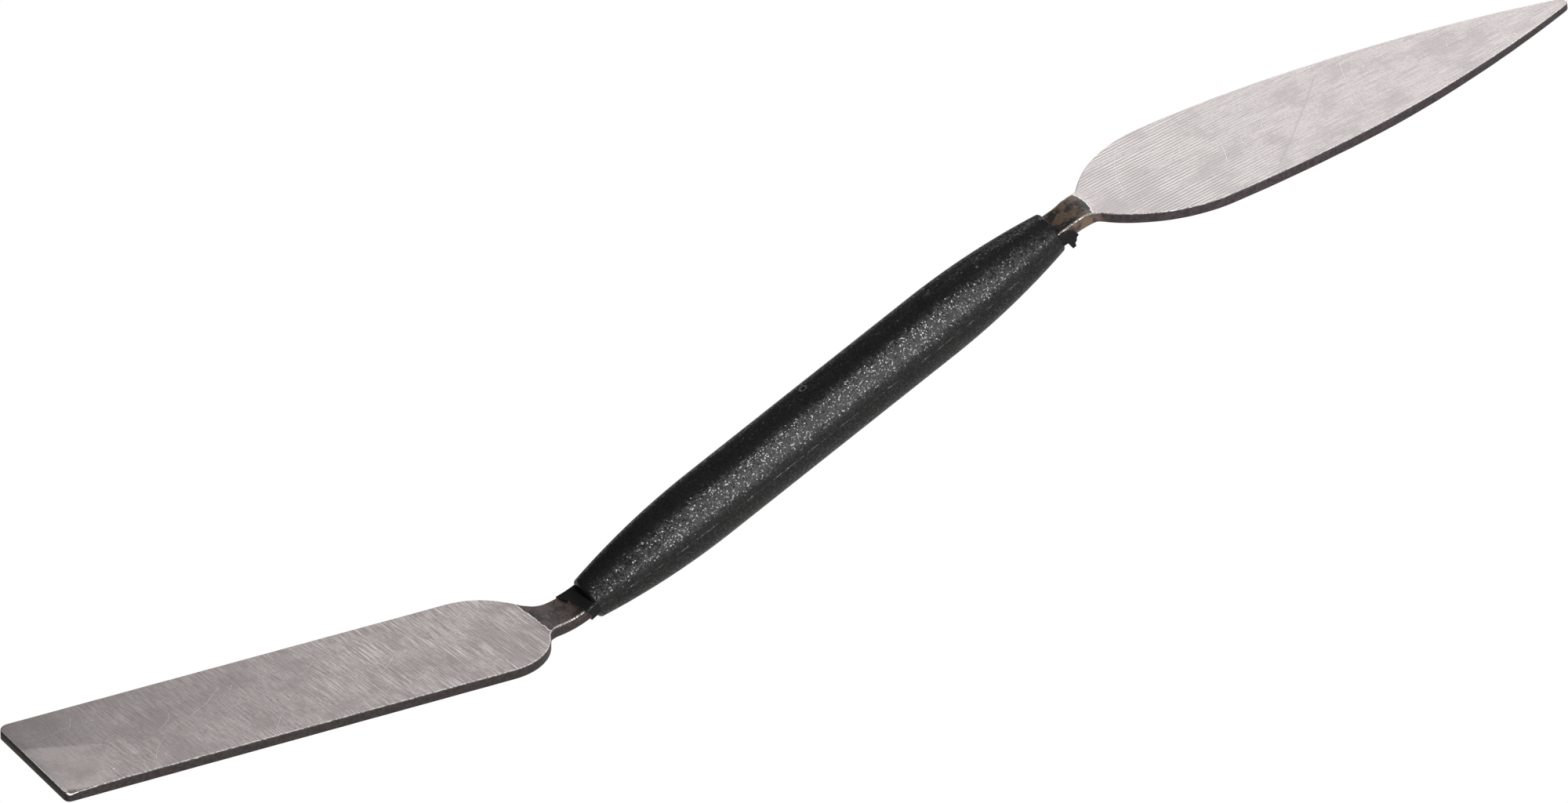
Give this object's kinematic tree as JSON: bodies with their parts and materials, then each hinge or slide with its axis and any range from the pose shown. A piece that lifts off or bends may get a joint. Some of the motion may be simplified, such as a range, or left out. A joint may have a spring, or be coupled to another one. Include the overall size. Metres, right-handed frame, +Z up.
{
  "type": "palette knife",
  "caption": "Double-ended palette knife: a bent square-ended steel blade and a bent leaf-shaped steel blade keyed into a round moulded plastic handle.",
  "frame": {"origin": "middle of the handle, on its axis", "axes": "+X along the handle towards the leaf blade, +Y across the blades, +Z up: the square blade bends up from the handle line and the leaf blade bends down"},
  "size_m": [0.2563, 0.025, 0.0684],
  "materials": {
    "moulded_plastic": "black moulding with a fine spark-eroded grain",
    "square_blade_steel": "ground across the blade near the end, dark forge scale on the neck",
    "leaf_blade_steel": "ground lengthwise, dark and slightly rusty forge scale on the neck"
  },
  "bodies": {
    "root": {"handle": "moulded_plastic", "square_blade": "square_blade_steel", "leaf_blade": "leaf_blade_steel"}
  },
  "joints": []
}
